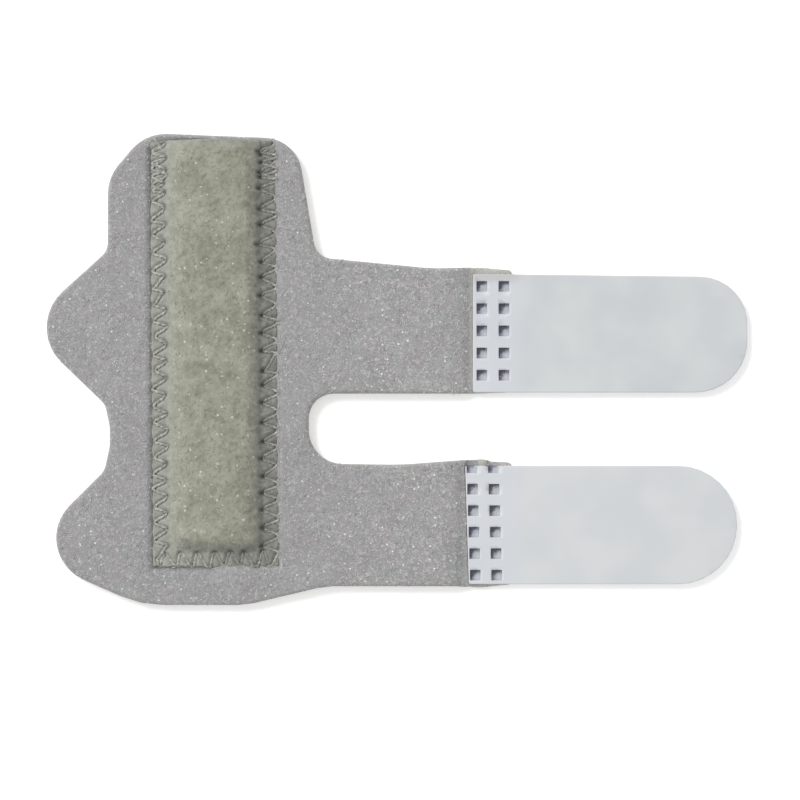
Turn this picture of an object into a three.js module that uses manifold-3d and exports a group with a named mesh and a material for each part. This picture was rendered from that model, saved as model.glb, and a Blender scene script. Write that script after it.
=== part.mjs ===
// A finger splint lying open: a foam-laminate pad cut in one piece with two wrap-around straps and
// two rounded lobes, a pile pocket sewn down its spine for a flat stiffening bar, and a moulded hook
// tab welded to each strap's end. Lengths are millimetres and +Z is up. The straps run towards +X,
// the pocket's mouth faces +Y, and the pad lies on z = 0 with the origin at the middle of its box.
import * as THREE from "three";
import { mergeVertices } from "three/addons/utils/BufferGeometryUtils.js";
import Module from "manifold-3d";

const wasm = await Module();
wasm.setup();

// The pad's lengths along Y, from the hem up: the hem's drop, a strap, the slot, a strap, the head.
const hemDrop = 3.2;
const lowerStrapWidth = 20.9;
const slotWidth = 11.9;
const upperStrapWidth = 21.4;
const headLength = 23;

// The foam that shows round the pocket, and how far the straps and lobes stand out from it.
const leftBorder = 7.5;
const topBorder = 1.5;
const hemBorder = 6.6;
const headBorder = 3.2; // right of the pocket, at the top corner
const rootBorder = 6.6; // right of the pocket, where the upper strap leaves
const slotBorder = 5.3; // right of the pocket, at the slot's end
const strapLength = 34.65; // from the slot's end to the strap's end
const upperLobeReach = 14.3; // from the pad's side to the corner that the tip's radius rounds off
const lowerLobeReach = 14.6;
const upperLobeRadius = 8.3;
const lowerLobeRadius = 7.8;
const waistDip = 1.2; // how far the waist between the lobes cuts in past the side
const shoulderRadius = 7.6;
const headRadius = 6.4;
const crookRadius = 3.2; // inner corner between head and upper strap
const slotUpperRadius = 4.2;
const slotLowerRadius = 5.8;

// The foam laminate.
const foamThickness = 2.2;
const foamEdgeRound = 0.5;

// The pocket: one pile cloth sewn down on three sides, its mouth open at the top.
const pocketWidth = 21.4;
const pocketLean = THREE.MathUtils.degToRad(0.4);
const seamMargin = 2.4; // the flat strip that the zigzag holds down
const marginThickness = 0.8;
const clothThickness = 1.0; // cloth and pile over the bar's space
const barWidth = 14;
const barThickness = 1.5;
const endRise = 3.6; // length over which the cloth climbs from the hem seam onto the bar

// The hook tabs and their welds.
const tabWidth = 20.2;
const upperTabLength = 47;
const lowerTabLength = 46;
const upperOverlap = 6.7;
const lowerOverlap = 7.7;
const tabThickness = 0.5;
const upperTabDrop = 0.4; // the upper tab was welded on this much below its strap's middle
const tabTaper = 0.5; // the upper tab's far end is this much narrower
const tabTipPoint = 1.2; // the upper tab's blunt point past its end corners
const upperTabRadius = 8.9;
const tabEdgeRound = 0.15;
const hookInset = 0.5; // bare border round the field of hooks
const weldSeat = 0.9; // height of the strap's crushed end, under the tab
const foamShoulder = 1.6; // height of the foam at the tab's edge
const shoulderRamp = 4; // length over which the foam falls to that height
const pitSize = 1.8;
const pitDepth = 0.75;
const pitWall = 0.2;
const upperWeldPitch = 3.78;
const lowerWeldPitch = 3.66;
const upperWeldRows = 5;
const lowerWeldRows = 6;
const weldColumns = 2;
const pitFromStrapEnd = 1.4; // last column's centre to the strap's end, on the upper strap
const lowerPitShift = 1.5; // the lower weld stands this much further in
const lowerPitRise = 0.6; // and this much higher, so that its top row runs off the tab's edge
const weldLean = THREE.MathUtils.degToRad(1.8); // the lower tab was welded on a little askew

// Neighbouring pieces stay this far apart.
const gap = 0.1;
const arcStep = THREE.MathUtils.degToRad(11); // turn of one facet round a corner
const past = 2; // how far a cutting solid runs past what it cuts

// Heights of the pad's edges, measured up from its hem.
const lowerStrapFoot = hemDrop;
const lowerStrapHead = lowerStrapFoot + lowerStrapWidth;
const upperStrapFoot = lowerStrapHead + slotWidth;
const upperStrapHead = upperStrapFoot + upperStrapWidth;
const padHead = upperStrapHead + headLength;

// Distances right of the pocket's centre line.
const padSide = -(pocketWidth / 2 + leftBorder);
const headSide = pocketWidth / 2 + headBorder;
const strapRoot = pocketWidth / 2 + rootBorder;
const slotEnd = pocketWidth / 2 + slotBorder;
const strapEnd = slotEnd + strapLength;

const foam = new THREE.MeshStandardMaterial({ color: "#a2a1a0", roughness: 0.95 });
const pile = new THREE.MeshStandardMaterial({ color: "#9a9b8c", roughness: 1 });
const hookPlastic = new THREE.MeshStandardMaterial({ color: "#d2d6d8", roughness: 0.55 });

// A closed outline through corner points, each rounded to its own radius. Two fillets that want
// more of the edge between them than it has both shrink to fit.
function roundedOutline(corners) {
  const count = corners.length;
  const points = corners.map((corner) => new THREE.Vector2(corner.x, corner.y));
  const towards = (i, j) => points[(j + count) % count].clone().sub(points[i]);
  const bends = corners.map((corner, i) => {
    const back = towards(i, i - 1).normalize();
    const on = towards(i, i + 1).normalize();
    const halfAngle = Math.acos(THREE.MathUtils.clamp(back.dot(on), -1, 1)) / 2;
    return { back, on, halfAngle, wanted: corner.radius / Math.tan(halfAngle) };
  });
  const share = (i, j) => {
    const neighbour = (j + count) % count;
    return (0.99 * towards(i, j).length()) / (bends[i].wanted + bends[neighbour].wanted + 1e-6);
  };
  const outline = bends.flatMap(({ back, on, halfAngle, wanted }, i) => {
    const tangent = wanted * Math.min(1, share(i, i - 1), share(i, i + 1));
    const inward = back.clone().add(on).normalize();
    const centre = points[i].clone().addScaledVector(inward, tangent / Math.cos(halfAngle));
    const start = points[i].clone().addScaledVector(back, tangent);
    const turn = (Math.PI - 2 * halfAngle) * (back.cross(on) > 0 ? -1 : 1);
    const steps = Math.max(1, Math.round(Math.abs(turn) / arcStep));
    const at = (step) => start.clone().rotateAround(centre, (turn * step) / steps);
    return Array.from({ length: steps + 1 }, (_, step) => at(step));
  });
  return new THREE.Shape(outline);
}

// A geometry's merged triangles as a manifold-3d solid, and back again.
function solidOf(geometry) {
  const bare = new THREE.BufferGeometry().setAttribute("position", geometry.getAttribute("position"));
  bare.setIndex(geometry.getIndex());
  const merged = mergeVertices(bare, 1e-4);
  const vertProperties = new Float32Array(merged.attributes.position.array);
  const triVerts = new Uint32Array(merged.index.array);
  return new wasm.Manifold(new wasm.Mesh({ numProp: 3, vertProperties, triVerts }));
}

function geometryOf(solid) {
  const { vertProperties, triVerts } = solid.getMesh();
  const geometry = new THREE.BufferGeometry();
  geometry.setAttribute("position", new THREE.BufferAttribute(new Float32Array(vertProperties), 3));
  geometry.setIndex(new THREE.BufferAttribute(new Uint32Array(triVerts), 1));
  geometry.computeVertexNormals();
  return geometry;
}

// A flat sheet with rounded edges, cut to an outline, from one height up to another.
function sheet(outline, low, high, edgeRound) {
  const round = Math.min(edgeRound, (high - low) * 0.45);
  const geometry = new THREE.ExtrudeGeometry(outline, {
    depth: high - low - 2 * round,
    bevelEnabled: round > 0,
    bevelThickness: round,
    bevelSize: round,
    bevelOffset: -round,
    bevelSegments: 2,
  });
  return geometry.translate(0, 0, low + round);
}

// A profile drawn in X and Z, extruded along Y from one place to another.
function alongY(profile, from, to) {
  const shape = new THREE.Shape(profile.map(([x, z]) => new THREE.Vector2(x, z)));
  const geometry = new THREE.ExtrudeGeometry(shape, { depth: to - from, bevelEnabled: false });
  return geometry.rotateX(Math.PI / 2).translate(0, to, 0);
}

function block(x, y, low, high, size) {
  return new THREE.BoxGeometry(size, size, high - low).translate(x, y, (low + high) / 2);
}

// The two straps, each with the tab that is welded to its end.
const straps = [
  {
    name: "upper",
    foot: upperStrapFoot,
    width: upperStrapWidth,
    tabLength: upperTabLength,
    overlap: upperOverlap,
    drop: upperTabDrop,
    taper: tabTaper,
    point: tabTipPoint,
    endRadius: upperTabRadius,
    lean: 0,
    rows: upperWeldRows,
    pitch: upperWeldPitch,
    inset: pitFromStrapEnd,
    rise: 0,
  },
  {
    name: "lower",
    foot: lowerStrapFoot,
    width: lowerStrapWidth,
    tabLength: lowerTabLength,
    overlap: lowerOverlap,
    drop: 0,
    taper: 0,
    point: 0,
    endRadius: tabWidth / 2,
    lean: weldLean,
    rows: lowerWeldRows,
    pitch: lowerWeldPitch,
    inset: pitFromStrapEnd + lowerPitShift,
    rise: lowerPitRise,
  },
];

const middleOf = (strap) => strap.foot + strap.width / 2;
const leanAt = (strap, height) => -Math.tan(strap.lean) * (height - middleOf(strap));

// The centres of a strap's weld pits, which the tab and the strap's end share.
function weldPits(strap) {
  const pits = [];
  for (let column = 0; column < weldColumns; column++) {
    for (let row = 0; row < strap.rows; row++) {
      const y = middleOf(strap) + strap.rise + (row - (strap.rows - 1) / 2) * strap.pitch;
      pits.push({ x: strapEnd - strap.inset - column * strap.pitch + leanAt(strap, y), y });
    }
  }
  return pits;
}

// The pad's cut outline, from the left shoulder clockwise. The strap's last stretch bulges a little
// where the weld has crushed the foam outwards, and the lobes lie opposite the straps.
function padOutline() {
  const narrow = slotEnd + 0.6 * strapLength;
  const bulge = slotEnd + 0.84 * strapLength;
  const upper = { foot: upperStrapFoot, head: upperStrapHead, width: upperStrapWidth };
  const lower = { foot: lowerStrapFoot, head: lowerStrapHead, width: lowerStrapWidth };
  return roundedOutline([
    { x: padSide, y: padHead - 0.33 * headLength, radius: shoulderRadius },
    { x: padSide + 0.28 * headLength, y: padHead, radius: shoulderRadius },
    { x: headSide, y: padHead - 0.16 * headRadius, radius: headRadius },
    { x: strapRoot, y: upper.head + 0.08 * headLength, radius: crookRadius },
    { x: narrow, y: upper.head - 0.002 * upper.width, radius: 20 },
    { x: bulge, y: upper.head + 0.006 * upper.width, radius: 8 },
    { x: strapEnd, y: upper.head - 0.014 * upper.width, radius: 0.6 },
    { x: strapEnd, y: upper.foot + 0.01 * upper.width, radius: 0.6 },
    { x: bulge, y: upper.foot, radius: 8 },
    { x: slotEnd, y: upper.foot, radius: slotUpperRadius },
    { x: slotEnd, y: lower.head, radius: slotLowerRadius },
    { x: slotEnd + 0.45 * strapLength, y: lower.head - 0.01 * lower.width, radius: 30 },
    { x: bulge, y: lower.head + 0.038 * lower.width, radius: 4 },
    { x: strapEnd, y: lower.head + 0.005 * lower.width, radius: 0.6 },
    { x: strapEnd, y: lower.foot + 0.012 * lower.width, radius: 0.6 },
    { x: bulge, y: lower.foot - 0.015 * lower.width, radius: 4 },
    { x: slotEnd + 0.72 * strapLength, y: lower.foot, radius: 8 },
    { x: slotEnd + 0.08 * strapLength, y: lower.foot, radius: 12 },
    { x: 0.25 * pocketWidth, y: 0, radius: 12 },
    { x: -0.59 * pocketWidth, y: 0, radius: 18 },
    { x: padSide - lowerLobeReach, y: lower.foot + 0.276 * lower.width, radius: lowerLobeRadius },
    { x: padSide - 0.05 * lowerLobeReach, y: lower.head - 0.065 * lower.width, radius: 2.5 },
    { x: padSide + waistDip, y: lower.head + 0.39 * slotWidth, radius: 16.4 },
    { x: padSide - 0.04 * upperLobeReach, y: upper.foot - 0.08 * upper.width, radius: 2.5 },
    { x: padSide - upperLobeReach, y: upper.foot + 0.535 * upper.width, radius: upperLobeRadius },
    { x: padSide, y: upper.head + 0.14 * upper.width, radius: 2.8 },
  ]);
}

// What a tab's weld takes out of a strap: the foam falls in a soft ramp to the tab's edge, and the
// end beyond it is crushed flat, with a socket under each pit.
function weldCut(strap) {
  const edge = strapEnd - strap.overlap - gap;
  const above = foamThickness + past;
  const profile = [
    [edge - shoulderRamp, foamThickness],
    [edge, foamShoulder],
    [edge, weldSeat],
    [strapEnd + past, weldSeat],
    [strapEnd + past, above],
    [edge - shoulderRamp, above],
  ];
  const cutter = alongY(profile, strap.foot - past, strap.foot + strap.width + past);
  cutter.translate(-edge, -middleOf(strap), 0).rotateZ(strap.lean);
  let cut = solidOf(cutter.translate(edge, middleOf(strap), 0));
  const socket = pitSize + 2 * (pitWall + gap);
  const floor = weldSeat + gap + tabThickness - pitDepth - pitWall - gap;
  for (const { x, y } of weldPits(strap)) {
    cut = cut.add(solidOf(block(x, y, floor, weldSeat + past, socket)));
  }
  return cut;
}

function padGeometry() {
  let pad = solidOf(sheet(padOutline(), 0, foamThickness, foamEdgeRound));
  for (const strap of straps) {
    pad = pad.subtract(weldCut(strap));
  }
  return geometryOf(pad);
}

// The outline of a tab, or of its field of hooks when it is taken in from every edge.
function tabOutline(strap, start, inset) {
  const end = strapEnd - strap.overlap + strap.tabLength - inset;
  const middle = middleOf(strap) - strap.drop;
  const foot = middle - tabWidth / 2 + inset;
  const head = middle + tabWidth / 2 - inset;
  const corner = 0.4;
  const radius = strap.endRadius - inset;
  const tip = { x: end, y: middle + 0.01 * tabWidth, radius: tabWidth };
  return roundedOutline([
    { x: start + leanAt(strap, foot), y: foot, radius: corner },
    { x: end - strap.point, y: foot, radius },
    ...(strap.point > 0 ? [tip] : []),
    { x: end - strap.point, y: head - strap.taper, radius },
    { x: start + leanAt(strap, head), y: head, radius: corner },
  ]);
}

// A tab: a thin backing over the strap's end, dimpled at each weld pit, and past the strap's end
// the bed of hooks that hangs from it down to the surface.
function tabGeometry(strap) {
  const low = weldSeat + gap;
  const high = low + tabThickness;
  const start = strapEnd - strap.overlap;
  const whole = tabOutline(strap, start, 0);
  const footprint = solidOf(sheet(whole, 0, high, 0));
  const hooks = tabOutline(strap, strapEnd + hookInset, hookInset);
  let tab = solidOf(sheet(whole, low, high, tabEdgeRound));
  tab = tab.add(solidOf(sheet(hooks, 0, low + tabEdgeRound, 0)));
  for (const { x, y } of weldPits(strap)) {
    const floor = high - pitDepth;
    const dimple = solidOf(block(x, y, floor - pitWall, low + tabEdgeRound, pitSize + 2 * pitWall));
    tab = tab.add(dimple.intersect(footprint));
    tab = tab.subtract(solidOf(block(x, y, floor, high + past, pitSize)));
  }
  return geometryOf(tab);
}

// A closed solid skinned over rings of points, all with the same count, and capped at both ends.
function loft(rings) {
  const size = rings[0].length;
  const indices = [];
  for (let ring = 0; ring + 1 < rings.length; ring++) {
    for (let i = 0; i < size; i++) {
      const a = ring * size + i;
      const b = ring * size + ((i + 1) % size);
      indices.push(a, b, b + size, a, b + size, a + size);
    }
  }
  const last = (rings.length - 1) * size;
  const flat = rings[rings.length - 1].map((point) => new THREE.Vector2(point.x, point.z));
  for (const [a, b, c] of THREE.ShapeUtils.triangulateShape(flat, [])) {
    indices.push(a, b, c, last + a, last + c, last + b);
  }
  return new THREE.BufferGeometry().setFromPoints(rings.flat()).setIndex(indices);
}

// How high the cloth stands over the bar, from 1 at the middle to 0 at the seam's edge.
const crownShare = (across) => Math.pow(1 - Math.pow(Math.min(1, Math.abs(across)), 3.2), 0.6);

// The pocket, about its own centre line: flat seam margins left, right and at the hem, and between
// them the cloth's rise over the bar, which is hollow below and open at the mouth.
function pocketGeometry() {
  const foot = hemBorder;
  const head = padHead - topBorder;
  const low = foamThickness + gap;
  const crown = barThickness + clothThickness - marginThickness;
  const halfCrown = pocketWidth / 2 - seamMargin;
  const steps = 12;
  const ringAt = (y, height) => {
    const ring = [new THREE.Vector3(-pocketWidth / 2, y, low)];
    ring.push(new THREE.Vector3(-pocketWidth / 2, y, low + marginThickness));
    for (let i = 0; i <= 2 * steps; i++) {
      const across = Math.sin(((i / steps - 1) * Math.PI) / 2);
      const z = low + marginThickness + crown * height * crownShare(across);
      ring.push(new THREE.Vector3(across * halfCrown, y, z));
    }
    ring.push(new THREE.Vector3(pocketWidth / 2, y, low + marginThickness));
    ring.push(new THREE.Vector3(pocketWidth / 2, y, low));
    return ring;
  };
  const rings = [ringAt(foot, 0)];
  const climb = 6;
  for (let i = 0; i <= climb; i++) {
    const along = i / climb;
    rings.push(ringAt(foot + seamMargin + along * endRise, crownShare(1 - along)));
  }
  const lip = 0.8;
  rings.push(ringAt(head - lip, 1), ringAt(head, 0.88));
  const barSpace = [
    [-barWidth / 2, low - past],
    [barWidth / 2, low - past],
    [barWidth / 2, low + 0.55 * barThickness],
    [barWidth / 2 - 0.45 * barThickness, low + barThickness],
    [0.45 * barThickness - barWidth / 2, low + barThickness],
    [-barWidth / 2, low + 0.55 * barThickness],
  ];
  const hollow = alongY(barSpace, foot + seamMargin + 0.6 * endRise, head + past);
  return geometryOf(solidOf(loft(rings)).subtract(solidOf(hollow)));
}

function piece(name, geometry, material) {
  const mesh = new THREE.Mesh(geometry, material);
  mesh.name = name;
  return mesh;
}

// The pocket turns by its lean about the middle of the pad's length.
function pocketPiece() {
  const pocket = piece("bar_pocket", pocketGeometry().translate(0, -padHead / 2, 0), pile);
  pocket.position.y = padHead / 2;
  pocket.rotation.z = pocketLean;
  return pocket;
}

const splint = new THREE.Group();
splint.add(piece("foam_pad", padGeometry(), foam));
splint.add(pocketPiece());
for (const strap of straps) {
  splint.add(piece(`${strap.name}_hook_tab`, tabGeometry(strap), hookPlastic));
}

// The origin moves to the middle of the splint's own box, on the surface that it lies on.
const middle = new THREE.Box3().setFromObject(splint).getCenter(new THREE.Vector3());
splint.position.set(-middle.x, -middle.y, 0);

export default splint;
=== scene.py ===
import math

import bpy
import numpy as np
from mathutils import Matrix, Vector
from mathutils.bvhtree import BVHTree


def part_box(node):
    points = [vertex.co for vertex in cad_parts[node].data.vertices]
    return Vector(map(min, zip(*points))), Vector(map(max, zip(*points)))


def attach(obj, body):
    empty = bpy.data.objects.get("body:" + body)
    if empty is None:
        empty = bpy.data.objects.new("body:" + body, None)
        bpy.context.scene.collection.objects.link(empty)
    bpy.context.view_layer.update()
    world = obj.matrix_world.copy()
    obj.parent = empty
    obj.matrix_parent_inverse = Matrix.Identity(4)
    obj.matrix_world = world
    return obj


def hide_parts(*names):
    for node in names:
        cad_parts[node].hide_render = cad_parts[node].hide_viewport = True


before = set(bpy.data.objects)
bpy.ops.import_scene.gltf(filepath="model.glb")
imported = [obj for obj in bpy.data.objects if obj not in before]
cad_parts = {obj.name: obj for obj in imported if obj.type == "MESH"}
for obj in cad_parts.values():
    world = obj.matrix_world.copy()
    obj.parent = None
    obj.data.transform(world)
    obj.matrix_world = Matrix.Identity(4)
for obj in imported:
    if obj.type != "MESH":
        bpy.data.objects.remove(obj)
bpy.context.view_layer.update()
mm = 0.001


# small helpers
def pick(piece):
    bpy.ops.object.select_all(action="DESELECT")
    piece.select_set(True)
    bpy.context.view_layer.objects.active = piece
    return piece


def applyModifier(piece, kind, **settings):
    pick(piece)
    modifier = piece.modifiers.new(kind.lower(), kind)
    for key, value in settings.items():
        setattr(modifier, key, value)
    bpy.ops.object.modifier_apply(modifier=modifier.name)


def readPoints(piece):
    points = np.zeros(len(piece.data.vertices) * 3)
    piece.data.vertices.foreach_get("co", points)
    return points.reshape(-1, 3)


def writePoints(piece, points):
    piece.data.vertices.foreach_set("co", points.ravel())
    piece.data.update()


def choosePoints(piece, chosen):
    # leaves the piece in edit mode with these points selected
    pick(piece)
    bpy.ops.object.mode_set(mode="EDIT")
    bpy.ops.mesh.select_mode(type="VERT")
    bpy.ops.mesh.select_all(action="DESELECT")
    bpy.ops.object.mode_set(mode="OBJECT")
    piece.data.vertices.foreach_set("select", np.asarray(chosen, dtype=bool))
    bpy.ops.object.mode_set(mode="EDIT")


def share(piece, name, values):
    # a number at each point that a material or a modifier reads by its name
    attribute = piece.data.attributes.new(name, "FLOAT", "POINT")
    attribute.data.foreach_set("value", np.asarray(values, dtype=np.float32))


def weigh(piece, name, values):
    # a vertex group, in even steps
    steps = 10
    group = piece.vertex_groups.new(name=name)
    for step in range(1, steps + 1):
        chosen = np.nonzero((values > (step - 1) / steps) & (values <= step / steps))[0]
        group.add(chosen.tolist(), step / steps, "REPLACE")


def settle(piece, material, smoothAngle=None):
    piece.data.materials.clear()
    piece.data.materials.append(material)
    pick(piece)
    if smoothAngle is None:
        bpy.ops.object.shade_smooth()
    else:
        bpy.ops.object.shade_smooth_by_angle(angle=smoothAngle)
    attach(piece, "root")
    triangles = sum(len(polygon.vertices) - 2 for polygon in piece.data.polygons)
    print(piece.name, "has", triangles, "triangles")
    return piece


def copyOf(source, name):
    # with a mesh of its own and none of the frame's marks
    piece = source.copy()
    piece.data = source.data.copy()
    piece.name = name
    bpy.context.scene.collection.objects.link(piece)
    for key in list(piece.keys()):
        del piece[key]
    piece.parent = None
    return piece


def copyOfNode(node, name):
    piece = copyOf(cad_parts[node], name)
    piece.data.name = name
    pick(piece)
    bpy.ops.object.mode_set(mode="EDIT")
    bpy.ops.mesh.select_all(action="SELECT")
    bpy.ops.mesh.remove_doubles(threshold=0.002 * mm)
    bpy.ops.object.mode_set(mode="OBJECT")
    return piece


def smooth(low, high, x):
    # from 0 at low to 1 at high, eased at both ends
    t = np.clip((x - low) / (high - low), 0, 1)
    return t * t * (3 - 2 * t)


def ridge(middle, spread, x):
    # 1 at the middle, falling off on both sides of it
    return np.exp(-(((x - middle) / spread) ** 2))


def ripple(piece, group, name, size, strength, direction="Z", detail=2):
    # moves a vertex group's points by a cloud texture
    texture = bpy.data.textures.new(name, "CLOUDS")
    texture.noise_scale = size
    texture.noise_depth = detail
    settings = {"texture": texture, "texture_coords": "LOCAL", "direction": direction}
    applyModifier(piece, "DISPLACE", vertex_group=group, strength=strength, mid_level=0.5, **settings)


def addNode(tree, kind, settings, sockets):
    # a socket takes a value, or a link from another node's output
    made = tree.nodes.new(kind)
    for name, value in settings.items():
        setattr(made, name, value)
    for name, value in sockets.items():
        if isinstance(value, bpy.types.NodeSocket):
            tree.links.new(value, made.inputs[name])
        else:
            made.inputs[name].default_value = value
    return made


def treeOf(piece):
    corners = [vertex.co for vertex in piece.data.vertices]
    return BVHTree.FromPolygons(corners, [tuple(polygon.vertices) for polygon in piece.data.polygons])


# camera and light
view = {
    "frame": 800,  # the picture's side, in pixels
    "pixel": 0.17 * mm,
    "centre": (0.5 * mm, -5.2 * mm),
    "surface": 2 * mm,  # the height at which a pixel has that size
    "lens": 90,
    "sensor": 36,
    "nearest": 0.01,
}
camera = bpy.data.objects.new("camera", bpy.data.cameras.new("camera"))
bpy.context.scene.collection.objects.link(camera)
camera.data.lens = view["lens"]
camera.data.sensor_width = view["sensor"]
camera.data.clip_start = view["nearest"]
reach = view["frame"] * view["pixel"] * view["lens"] / view["sensor"]
camera.location = (*view["centre"], view["surface"] + reach)
bpy.context.scene.camera = camera

studio = {
    "sky": 0.66,
    "key": 26,
    "keyFrom": (-1.15, 1.05, 1.35),
    "keySize": 0.7,
    "floor": 0.94,
    "floorSize": 6,
    "floorDrop": 0.02 * mm,
    "floorRoughness": 0.8,
    "glow": 0.27,
}
white = (1, 1, 1, 1)
world = bpy.data.worlds.new("studio")
bpy.context.scene.world = world
world.use_nodes = True
world.node_tree.nodes["Background"].inputs["Color"].default_value = white
world.node_tree.nodes["Background"].inputs["Strength"].default_value = studio["sky"]
bpy.ops.object.light_add(type="AREA", location=studio["keyFrom"])
key = bpy.context.object
key.data.size = studio["keySize"]
key.data.energy = studio["key"]
key.rotation_euler = Vector(studio["keyFrom"]).to_track_quat("Z", "Y").to_euler()
bpy.context.scene.view_settings.view_transform = "Standard"
print("camera and light are set")


# materials
def shade(red, green, blue):
    # a colour as it looks on screen, 0 to 255
    parts = [part / 255 for part in (red, green, blue)]
    linear = [part / 12.92 if part < 0.0405 else ((part + 0.055) / 1.055) ** 2.4 for part in parts]
    return (*linear, 1)


class Value:
    # a node's output that can be used in sums
    def __init__(self, finish, socket):
        self.finish = finish
        self.socket = socket

    def math(self, operation, first, second):
        return self.finish.node("Math", {"operation": operation}, {0: first, 1: second})

    def __add__(self, other):
        return self.math("ADD", self, other)

    def __radd__(self, other):
        return self.math("ADD", other, self)

    def __sub__(self, other):
        return self.math("SUBTRACT", self, other)

    def __rsub__(self, other):
        return self.math("SUBTRACT", other, self)

    def __mul__(self, other):
        return self.math("MULTIPLY", self, other)

    def __rmul__(self, other):
        return self.math("MULTIPLY", other, self)

    def __gt__(self, other):
        return self.math("GREATER_THAN", self, other)

    def __lt__(self, other):
        return self.math("LESS_THAN", self, other)


class Finish:
    # one material and its node tree
    def __init__(self, name):
        self.material = bpy.data.materials.new(name)
        self.material.use_nodes = True
        self.tree = self.material.node_tree
        self.tree.nodes.clear()

    def node(self, kind, settings, sockets, output=0):
        plain = {name: getattr(value, "socket", value) for name, value in sockets.items()}
        made = addNode(self.tree, "ShaderNode" + kind, settings, plain)
        return Value(self, made.outputs[output]) if made.outputs else None

    def mix(self, factor, first, second):
        sockets = {0: factor, 6: first, 7: second}
        return self.node("Mix", {"data_type": "RGBA", "clamp_factor": True}, sockets, 2)

    def grain(self, size, detail=2, roughness=0.5, distortion=0.0):
        sockets = {"Vector": self.place, "Scale": 1 / size, "Detail": detail}
        sockets.update({"Roughness": roughness, "Distortion": distortion})
        return self.node("TexNoise", {}, sockets)

    def ramp(self, value, low, high):
        sockets = {"Value": value, "From Min": low, "From Max": high}
        return self.node("MapRange", {"interpolation_type": "SMOOTHSTEP"}, sockets)

    def specks(self, size, radius, chance):
        # small dots: a few of the cells that fill space, each with a dot at its middle
        cells = {"Vector": self.place, "Scale": 1 / size}
        near = self.node("TexVoronoi", {"feature": "F1"}, cells)
        tint = self.node("TexVoronoi", {"feature": "F1"}, cells, 1)
        lot = self.node("SeparateColor", {}, {"Color": tint})
        return (near < radius / size) * (lot < chance)

    def patches(self, size, detail, roughness, distortion, low, high):
        return self.ramp(self.grain(size, detail, roughness, distortion), low, high)

    def flecks(self, size, radius, chance, breakSize, low, high):
        # specks that a finer grain breaks up
        return self.specks(size, radius, chance) * self.ramp(self.grain(breakSize, 1), low, high)

    def lay(self, mask, tint, colour):
        # a tint says how much of which colour is laid over another
        amount, tone = tint
        return self.mix(mask * amount, colour, tone)

    def share(self, name):
        return self.node("Attribute", {"attribute_name": name}, {}, 2)

    def close(self, colour, surface, bump=None, gloss=None):
        # a surface holds what is the same all over it
        sockets = {"Base Color": colour, "Roughness": gloss or surface["roughness"], "Sheen Roughness": 0.6}
        sockets["Sheen Weight"] = surface.get("sheen", 0)
        sockets["Specular IOR Level"] = surface["specular"]
        if bump is not None:
            sockets["Normal"] = self.node("Bump", {}, {"Height": bump, "Distance": surface["relief"]})
        shader = self.node("BsdfPrincipled", {}, sockets)
        self.node("OutputMaterial", {}, {"Surface": shader})
        return self.material

    @property
    def place(self):
        return self.node("TexCoord", {}, {}, 3)

    def facing(self, axis):
        normal = self.node("TexCoord", {}, {}, 1)
        return self.node("SeparateXYZ", {}, {"Vector": normal}, axis)

    @property
    def along(self):
        return self.node("SeparateXYZ", {}, {"Vector": self.place}, 0)

    @property
    def across(self):
        return self.node("SeparateXYZ", {}, {"Vector": self.place}, 1)

    @property
    def height(self):
        return self.node("SeparateXYZ", {}, {"Vector": self.place}, 2)


# in the looks below, a patch has a size, detail, roughness and distortion, and a fleck has a spacing,
# a radius, a chance and the size of its break; both end in the grain's values where they start and end
loopLook = {
    "broad": (4.2 * mm, 3, 0.6, 0, 0.35, 0.65),
    "hue": (2.6 * mm, 2, 0.6, 0, 0.4, 0.6),
    "curls": (0.62 * mm, 4, 0.65, 1.6, 0.44, 0.64),
    "fine": (0.25 * mm, 2, 0.6, 0, 0.3, 0.7),
    "knots": (0.8 * mm, 0.17 * mm, 0.6, 0.4 * mm, 0.35, 0.65),
    "dots": (0.9 * mm, 0.17 * mm, 0.27, 0.5 * mm, 0.35, 0.6),
    "lilac": (shade(150, 146, 149), shade(160, 156, 158)),
    "green": (shade(146, 150, 147), shade(156, 159, 157)),
    "curlTint": (0.66, shade(208, 206, 207)),
    "knotTint": (0.7, shade(218, 216, 217)),
    # a painted highlight on the foam beside the seam's right edge
    "paintedSeamHighlightTint": (0.3, shade(196, 195, 195)),
    "gapTint": (0.16, shade(120, 119, 120)),
    # painted glints: small near white specks
    "paintedGlint": (0.9, shade(244, 244, 244)),
    "bodyTint": (0.22, shade(144, 143, 144)),
    "bodyToStraps": (-16 * mm, 0),
    "core": (shade(148, 144, 130), shade(180, 176, 162)),
    "coreHeights": (0.35 * mm, 1.8 * mm),
    "steep": 0.35,  # a face that looks up or down less than this is part of the cut edge
    "crushed": (shade(172, 169, 160), shade(194, 192, 186)),
    # painted shade in the seam: the mouth's slit, the needle holes and a line along the cloth's left edge
    "paintedSeamShade": (0.8, shade(88, 88, 88)),
    "curlRise": 0.7,
    "fineRise": 0.4,
    "relief": 0.05 * mm,
    "roughness": 0.95,
    "sheen": 0.25,
    "specular": 0.15,
}


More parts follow.
